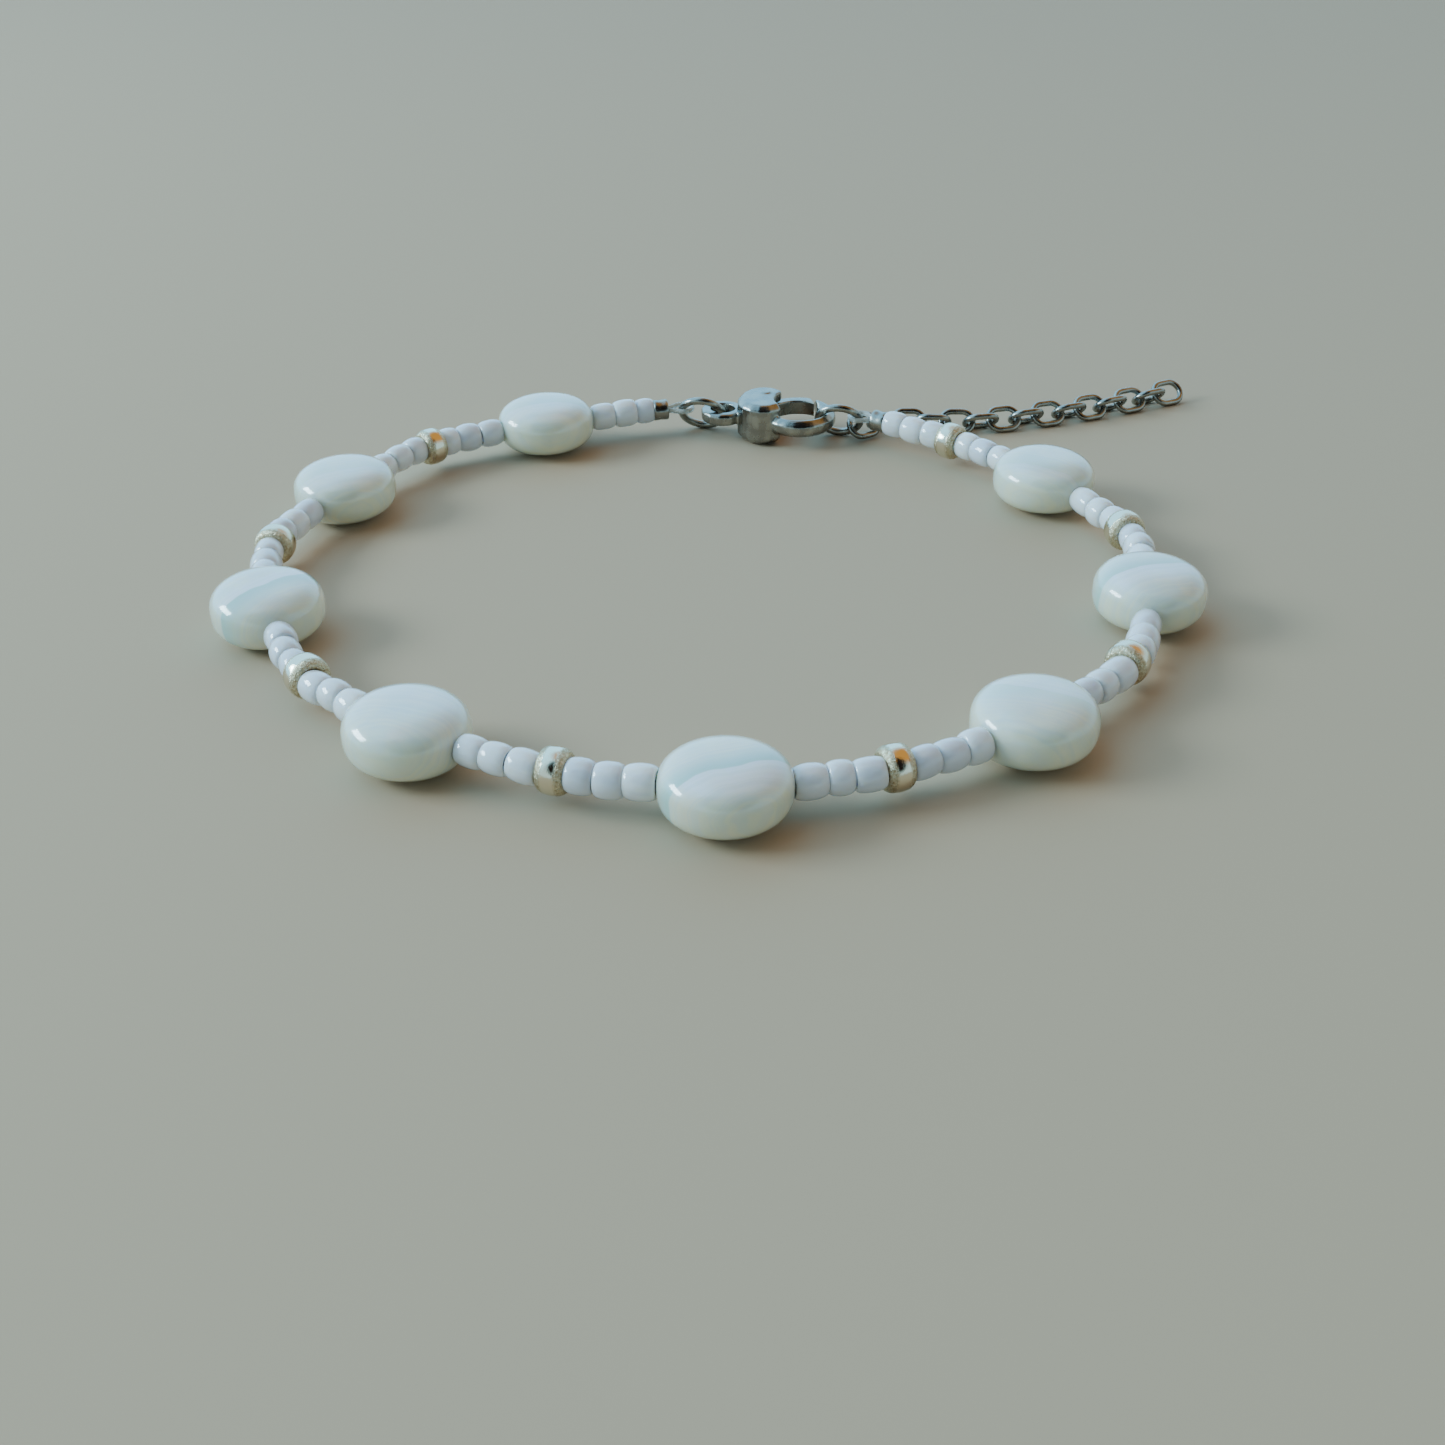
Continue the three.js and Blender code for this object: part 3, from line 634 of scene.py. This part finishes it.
# %% [markdown]
# ## Rings, chain and crimps
#
# Jump rings and chain links are steel wire bent round and butted, so each is a tube along a circle or
# a stretched circle. A flat ring hardly varies along its normal and varies most along its length.
# The directions in which a solid's own corners vary least and most therefore give each link's lie. The
# crimps are short steel tubes, pinched a little at their middles with pliers.

# %% Jump rings, chain links and crimps
RING = {"length": 4.0, "width": 4.0, "wire": 0.6}
LINK = {"length": 3.1, "width": 2.3, "wire": 0.5}
LINKS = 15
CRIMP = {"length": 1.2, "width": 1.7, "hole": 1.0, "power": 4.0}
CRIMP_PINCH = 0.08


def wire_loop(length, width, wire, rows=72, columns=16):
    """A tube along two half circles joined by straights, in the plane of X and Y, by arc length."""
    bend, straight = (width - wire) / 2, length - width
    total = 2 * np.pi * bend + 2 * straight
    s = np.arange(rows)[:, None] / rows * total
    arc = np.pi * bend
    angle = (np.clip(s, 0, arc) + np.clip(s - arc - straight, 0, arc)) / bend - np.pi / 2
    slide = np.clip(s - 2 * arc - straight, 0, straight) - np.clip(s - arc, 0, straight) + straight / 2
    t = np.linspace(0, 2 * np.pi, columns, endpoint=False)[None, :]
    out, up = bend + wire / 2 * np.cos(t), wire / 2 * np.sin(t)
    return np.stack([slide + out * np.cos(angle), out * np.sin(angle), up + 0 * s], -1)


def lie_of(name):
    """Rows are the directions in which a solid's corners vary most, less and least."""
    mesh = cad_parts[name].data
    points = np.empty(len(mesh.vertices) * 3, np.float32)
    mesh.vertices.foreach_get("co", points)
    points = np.unique(points.reshape(-1, 3).astype(float).round(7), axis=0)
    spread, axes = np.linalg.eigh(np.cov(points.T))
    axes = axes.T[::-1]
    return np.array([axes[0], axes[1], np.cross(axes[0], axes[1])])


STEEL_WORN = "#A9A69C"
CLOUDS_IN_MM, SCRATCHES_IN_MM, SCRATCH_SHARE = 1.1, 9.0, 0.15
STEEL_DENT = 0.06
# Roughness of the brightest and of the dullest patches.
STEEL_ROUGH = (0.2, 0.34)


def steel(name, tint, bent_from_wire):
    """Stainless steel, tumbled: grey, with soft dents that bend its reflections, and fine scratches. On
    wire the pattern follows the piece's own directions, and on a cast piece the place in the world."""
    material, tree, shader = new_material(name)
    if bent_from_wire:
        place, size = add(tree, "Attribute", {"attribute_name": "own"}, "Vector"), 1.0
    else:
        place, size = add(tree, "TexCoord", give="Object"), 1 / MM
    clouds = add(tree, "TexNoise", Vector=place, Scale=CLOUDS_IN_MM * size, Detail=3.0)
    worn_bright = add(tree, "MapRange", EASED, Value=clouds, **span(0.35, 0.7))
    body = add(tree, "Mix", COLOURS, Factor=worn_bright, A=linear(tint), B=linear(STEEL_WORN))
    rough = add(tree, "MapRange", EASED, Value=clouds, **span(0.3, 0.7, *STEEL_ROUGH))
    fill(shader, Base_Color=body, Roughness=rough, Metallic=1.0)
    scratches = add(tree, "TexNoise", Vector=place, Scale=SCRATCHES_IN_MM * size, Detail=2.0)
    scratches = add(tree, "Math", TIMES, _0=scratches, _1=SCRATCH_SHARE)
    dents = add(tree, "Math", PLUS, _0=clouds, _1=scratches)
    fill(shader, Normal=add(tree, "Bump", Height=dents, Strength=0.6, Distance=STEEL_DENT * MM))
    return material


wire_steel = steel("stainless_steel_wire", "#8F8D87", True)
rings = [("jump_ring_left", RING), ("jump_ring_right", RING)]
for name, sizes in rings + [(f"chain_link_{i}", LINK) for i in range(1, LINKS + 1)]:
    loop = wire_loop(**sizes)
    grid = laid(loop, box_middle(name), lie_of(name))
    grid["own"] = loop + rng.uniform(-FAR, FAR, 3)
    add_piece(make_mesh(f"steel_{name}", [grid]), [name], "bracelet", wire_steel)
for name in ("crimp_1", "crimp_2"):
    crimp = ring_bead(**CRIMP)
    crimp[..., 2] *= 1 - CRIMP_PINCH * np.cos(crimp[..., 0] * np.pi / CRIMP["length"]) ** 2
    grid = laid(crimp, middles[name], thread_axes(name))
    grid["own"] = crimp + rng.uniform(-FAR, FAR, 3)
    add_piece(make_mesh(f"steel_{name}", [grid]), [name], "bracelet", wire_steel)
print("rings and links:", len(rings) + LINKS, "and 2 crimps")

# %% [markdown]
# ## Thread
#
# The thread is clear nylon line, mostly hidden inside the beads. It is a tube along a smooth curve
# through the middles of all the beads. At each end it turns back through the crimp, and that loop, a
# small drop round the jump ring, is a second and a third closed tube.

# %% Thread
THREAD_RADIUS = 0.2
STEPS_BETWEEN_BEADS = 14
# The loop at each end: its radius, its reach from the middle to the crimp, how far its middle lies from
# the crimp's, how many points it has, and how much its sides draw in towards the crimp.
LOOP_RADIUS = 0.85
LOOP_REACH = 1.6
LOOP_BACK = 1.768
LOOP_POINTS = 64
LOOP_DRAWN_IN = 0.8


def smooth_path(knots, steps):
    """Catmull-Rom: between two knots a cubic whose end slopes come from the knots on either side."""
    ends = np.concatenate([[2 * knots[0] - knots[1]], knots, [2 * knots[-1] - knots[-2]]])
    p0, p1, p2, p3 = (ends[k:len(knots) - 1 + k, None] for k in range(4))
    t = np.linspace(0, 1, steps, endpoint=False)[None, :, None]
    curve = p1 + t * (p2 - p0) / 2 + t ** 2 * (p0 - 2.5 * p1 + 2 * p2 - p3 / 2)
    curve = curve + t ** 3 * (1.5 * (p1 - p2) + (p3 - p0) / 2)
    return np.concatenate([curve.reshape(-1, 3), knots[-1:]])


def tube(path, radius, columns=12, closed=False):
    """Circles square to the path, laid out from the path's level side direction and its up direction."""
    before = np.roll(path, 1, 0) if closed else np.concatenate([path[:1], path[:-1]])
    after = np.roll(path, -1, 0) if closed else np.concatenate([path[1:], path[-1:]])
    along = unit(after - before)
    side = unit(np.cross([0, 0, 1.0], along))
    up = np.cross(along, side)
    t = np.linspace(0, 2 * np.pi, columns, endpoint=False)[None, :, None]
    rings_of_points = path[:, None] + radius * (np.cos(t) * side[:, None] + np.sin(t) * up[:, None])
    if closed:
        return rings_of_points
    caps = [np.repeat(path[k, None, None], columns, 1) for k in (0, -1)]
    return np.concatenate([caps[0], rings_of_points, caps[1]])


def drop_loop(crimp, outward):
    """A drop in the level plane: a circle whose side towards the crimp is drawn out by the square of
    the cosine, and narrowed there by its power of one and a half."""
    t = np.linspace(0, 2 * np.pi, LOOP_POINTS, endpoint=False)
    pull = np.maximum(np.cos(t), 0)
    x = LOOP_BACK - LOOP_RADIUS * np.cos(t) - (LOOP_REACH - LOOP_RADIUS) * pull ** 2
    y = LOOP_RADIUS * np.sin(t) * (1 - LOOP_DRAWN_IN * pull ** 1.5)
    side = np.cross([0, 0, 1.0], outward)
    return middles[crimp] + (x[:, None] * outward + y[:, None] * side) * MM


THREAD_WAVES_IN_MM, THREAD_DENT = 1.5, 0.02


def nylon():
    """Drawn nylon line: half clear, with slow changes of gloss along it."""
    material, tree, shader = new_material("clear_nylon_thread")
    place = add(tree, "TexCoord", give="Object")
    waves = add(tree, "TexNoise", Vector=place, Scale=THREAD_WAVES_IN_MM / MM, Detail=2.0)
    rough = add(tree, "MapRange", EASED, Value=waves, **span(0.3, 0.7, 0.22, 0.4))
    fill(shader, Base_Color=linear("#DAD9D0"), Roughness=rough, IOR=1.53, Transmission_Weight=0.55)
    fill(shader, Normal=add(tree, "Bump", Height=waves, Strength=0.4, Distance=THREAD_DENT * MM))
    return material


path = smooth_path(np.array([middles[name] for name in string]), STEPS_BETWEEN_BEADS)
thread_grids = [{"points": tube(path, THREAD_RADIUS * MM)}]
for crimp, neighbour in (("crimp_1", "seed_run_1"), ("crimp_2", runs[-1])):
    outward = unit(middles[crimp] - middles[neighbour])
    drop = tube(drop_loop(crimp, unit(outward * [1, 1, 0])), THREAD_RADIUS * MM, closed=True)
    thread_grids.append({"points": drop})
thread_mesh = make_mesh("nylon_thread", thread_grids, pointed=[0])
add_piece(thread_mesh, ["thread"], "bracelet", nylon())
thread_length = np.linalg.norm(np.diff(path, axis=0), axis=1).sum() / MM
print("thread:", round(thread_length), "mm between crimps")

# %% [markdown]
# ## Clasp
#
# A lobster clasp is cast in steel and then tumbled with stones, so every edge is soft and the flats
# are slightly wavy. Starting from a copy of its solid keeps the jaw and the lever exactly where they
# have to be to work. The copy is cut into small cells and evened out, which rounds its edges as
# tumbling does.

# %% Clasp body and lever
# The size of a cell in millimetres, and how many times each piece is evened out.
CELL = 0.07
ROUNDING = {"clasp_body": 20, "clasp_lever": 10}
EVENED = 0.5


def tumbled(name):
    """A copy of a solid: its loose faces merged, remade in small cells, and evened out."""
    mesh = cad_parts[name].data.copy()
    mesh.name = f"tumbled_{name}"
    mesh.materials.clear()
    merged(mesh, SAME_PLACE * MM)
    piece = bpy.data.objects.new(mesh.name, mesh)
    bpy.context.collection.objects.link(piece)
    cells = piece.modifiers.new("cells", "REMESH")
    cells.mode, cells.voxel_size, cells.use_smooth_shade = "VOXEL", CELL * MM, True
    even = piece.modifiers.new("even", "SMOOTH")
    even.iterations, even.factor = ROUNDING[name], EVENED
    finished = piece.evaluated_get(bpy.context.evaluated_depsgraph_get())
    baked = bpy.data.meshes.new_from_object(finished)
    bpy.data.objects.remove(piece)
    baked.name = f"steel_{name}"
    baked.shade_smooth()
    return baked


cast_steel = steel("cast_stainless_steel", "#8B8A85", False)
for name, body in (("clasp_body", "bracelet"), ("clasp_lever", "clasp_lever")):
    cast = tumbled(name)
    add_piece(cast, [name], body, cast_steel)
    print(name, "faces:", len(cast.polygons))

# %% [markdown]
# ## Table and light
#
# The bracelet lies on a plain pale table. The photograph's light is daylight from a window at the
# left, which leaves the small white streaks, and a wide cool sky behind. The room above is warm, and
# the one dark patch, in front, is what leaves the dark spot in every metal bead.

# %% Table and lights
# Half the table's side, in metres.
FLOOR_HALF = 1.5
FLOOR_TURNS = [(-1, -1), (1, -1), (1, 1), (-1, 1)]
floor_mesh = bpy.data.meshes.new("table_top")
floor_corners = [(FLOOR_HALF * x, FLOOR_HALF * y, 0) for x, y in FLOOR_TURNS]
floor_mesh.from_pydata(floor_corners, [], [(0, 1, 2, 3)])
floor = bpy.data.objects.new("table_top", floor_mesh)
bpy.context.collection.objects.link(floor)
paint, tree, shader = new_material("pale_painted_board")
fill(shader, Base_Color=linear("#BEA588"), Roughness=0.85)
floor_mesh.materials.append(paint)
floor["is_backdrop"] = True

# Places and sizes of the window are in millimetres, its power is in watts.
LOOK_AT = np.array([0.0, 5.0, 2.0])
WINDOW = {"at": (-445, 15, 227), "size": (240, 130), "power": 2.3, "tint": "#D0F0FF"}
window = bpy.data.lights.new("window", "AREA")
window.shape = "RECTANGLE"
window.size, window.size_y = (side * MM for side in WINDOW["size"])
window.energy = WINDOW["power"]
window.color = linear(WINDOW["tint"])[:3]
holder = bpy.data.objects.new("window", window)
bpy.context.collection.objects.link(holder)
holder.location = np.array(WINDOW["at"]) * MM
aim = mathutils.Vector((LOOK_AT - WINDOW["at"]) * MM)
holder.rotation_euler = aim.to_track_quat("-Z", "Y").to_euler()

# The room, as soft patches over a dim whole: where each is, how far it reaches, and how bright it is.
ROOM_BASE = {"tint": "#A8CBD8", "power": 1.6}
ROOM = [
    {"toward": (-0.5, 0.7, 0.5), "edge": 0.0, "full": 0.95, "tint": "#94D6FF", "power": 2.75},
    {"toward": (0.45, 0.2, 0.87), "edge": 0.65, "full": 0.95, "tint": "#DDA95C", "power": 0.9},
    {"toward": (0.1, -0.72, 0.68), "edge": 0.7, "full": 0.86, "tint": "#3A3634", "power": 0.4},
]
world = bpy.data.worlds.new("room")
world.use_nodes = True
tree = world.node_tree
seen = add(tree, "TexCoord", give="Generated")
shade = [ROOM_BASE["power"] * value for value in linear(ROOM_BASE["tint"])]
for patch in ROOM:
    toward = unit(np.array(patch["toward"]))
    near = add(tree, "VectorMath", {"operation": "DOT_PRODUCT"}, _0=seen, _1=toward)
    part = add(tree, "MapRange", EASED, Value=near, **span(patch["edge"], patch["full"]))
    bright = [patch["power"] * value for value in linear(patch["tint"])]
    shade = add(tree, "Mix", COLOURS, Factor=part, A=shade, B=bright)
fill(tree.nodes["Background"], Color=shade)
bpy.context.scene.world = world
print("window and", len(ROOM), "patches of room light")

# %% [markdown]
# ## Size and finish
#
# The dressed bracelet has to stay inside the box of its solids, so both boxes are written down.

# %% Finish
visual_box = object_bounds()
sizes = {"solid": [list(map(float, corner)) for corner in solid_box],
         "visual": [list(map(float, corner)) for corner in visual_box]}
print(sizes)
